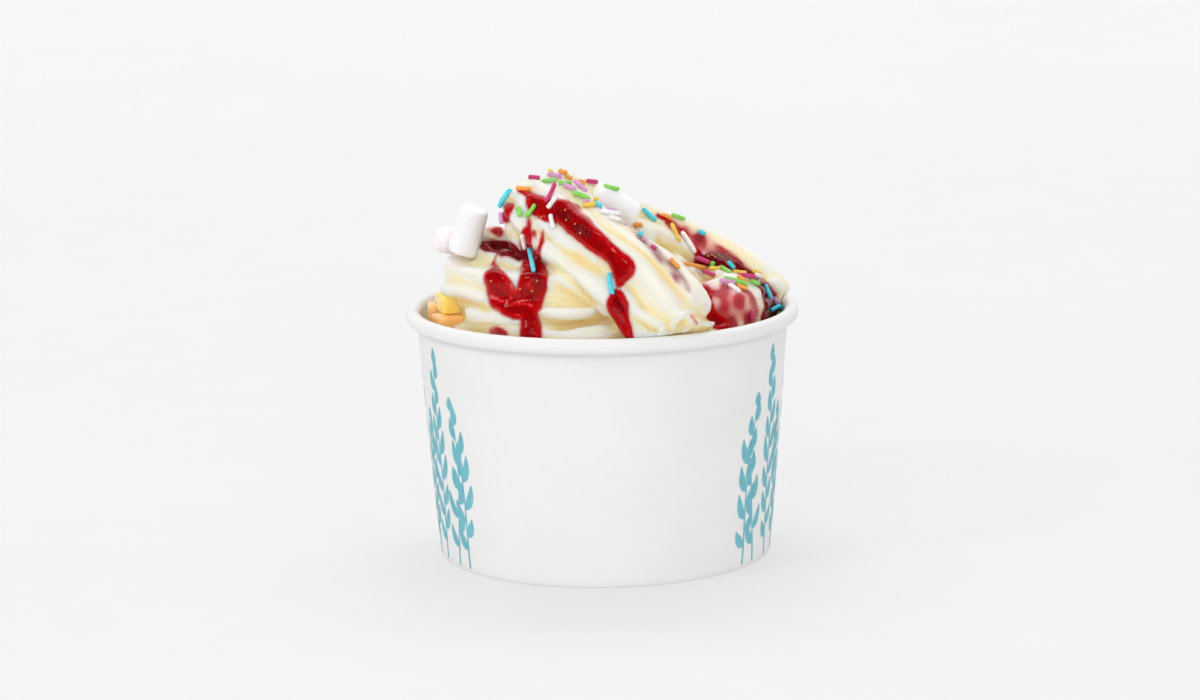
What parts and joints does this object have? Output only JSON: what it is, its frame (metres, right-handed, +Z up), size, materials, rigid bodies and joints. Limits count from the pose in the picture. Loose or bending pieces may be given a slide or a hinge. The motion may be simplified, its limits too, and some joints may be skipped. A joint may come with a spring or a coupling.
{
  "type": "frozen yogurt cup",
  "caption": "Round paper tub of swirled soft frozen yogurt with berry sauce, sugar sprinkles, small marshmallows and fruit cubes.",
  "frame": {"origin": "centre of the circle that the cup stands on", "axes": "+Z up, -Y towards the viewer, the swirl's high end on the -X side"},
  "size_m": [0.096, 0.096, 0.0945],
  "materials": {
    "cup_paper": "satin",
    "yogurt": "satin",
    "marshmallow_white": "matte",
    "marshmallow_pink": "matte",
    "fruit_yellow": "gloss",
    "fruit_orange": "gloss"
  },
  "bodies": {
    "root": {"cup_wall": "cup_paper", "cup_base": "cup_paper", "frozen_yogurt": "yogurt", "marshmallow_left": "marshmallow_white", "marshmallow_pink": "marshmallow_pink", "marshmallow_right": "marshmallow_white", "fruit_mango": "fruit_yellow", "fruit_peach": "fruit_orange", "fruit_orange": "fruit_orange"}
  },
  "joints": []
}
